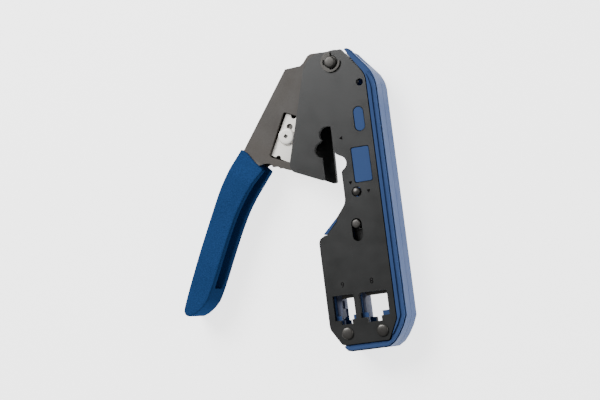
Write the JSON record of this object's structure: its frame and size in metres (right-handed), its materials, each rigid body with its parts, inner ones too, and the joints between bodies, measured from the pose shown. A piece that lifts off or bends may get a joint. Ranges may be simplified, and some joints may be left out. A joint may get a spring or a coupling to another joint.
{
  "type": "modular plug crimping tool",
  "caption": "Hand crimping tool for modular network plugs: steel side plates with a cable cutting slot and plug windows, moulded grip, and a channel lever with a dipped handle on a cam.",
  "frame": {"origin": "middle of the bounding box in X and Y, on the surface the tool lies on", "axes": "+Z out of the front side plate, towards the viewer when the tool lies on its back; +Y along the body towards the main pivot; +X from the lever handle towards the moulded grip"},
  "size_m": [0.106, 0.1374, 0.0201],
  "materials": {
    "black_steel": "black, satin, faintly mottled",
    "lever_steel": "dark grey-brown, finely pebbled",
    "grey_steel": "plain machined",
    "bright_steel": "smooth turned",
    "blade_steel": "bright ground",
    "blue_plastic": "satin moulded",
    "blue_vinyl": "dipped vinyl, finely pebbled"
  },
  "bodies": {
    "body": {"front_plate": "black_steel", "rear_plate": "black_steel", "grip_front": "blue_plastic", "grip_rear": "blue_plastic", "plug_nest": "grey_steel", "pivot_pin": "bright_steel", "pivot_clip": "grey_steel", "rivet_left": "black_steel", "rivet_right": "black_steel", "return_spring": "bright_steel", "spring_post": "bright_steel"},
    "lever_arm": {"lever": "lever_steel", "handle_sleeve": "blue_vinyl", "cam": "grey_steel", "cam_pin": "bright_steel", "blade_holder": "grey_steel", "cutter_blade": "blade_steel", "blade_screw": "blade_steel"},
    "ram": {"push_bar": "grey_steel", "cam_follower": "bright_steel", "guide_pin": "bright_steel", "die_6p": "grey_steel", "die_8p": "grey_steel", "trim_blade": "blade_steel", "trim_screw_1": "bright_steel", "trim_screw_2": "bright_steel"},
    "lock": {"lock_pin": "bright_steel"}
  },
  "joints": [
    {"name": "lever_hinge", "type": "hinge", "parent": "body", "child": "lever_arm", "pos_m": [0.03289, 0.0623, 0.0096], "axis": [0, 0, 1], "range_deg": [0, 28], "stiffness_Nm_per_rad": 0.4, "springref_deg": -14.32},
    {"name": "ram_slide", "type": "slide", "parent": "body", "child": "ram", "axis": [0, -1, 0], "range_m": [0, 0.0045], "deforming": ["return_spring"]},
    {"name": "lock_slide", "type": "slide", "parent": "body", "child": "lock", "axis": [0, 0, -1], "range_m": [0, 0.002]}
  ],
  "couplings": [
    {"joint": "ram_slide", "follows": "lever_hinge", "m_per_rad": 0.009208}
  ]
}
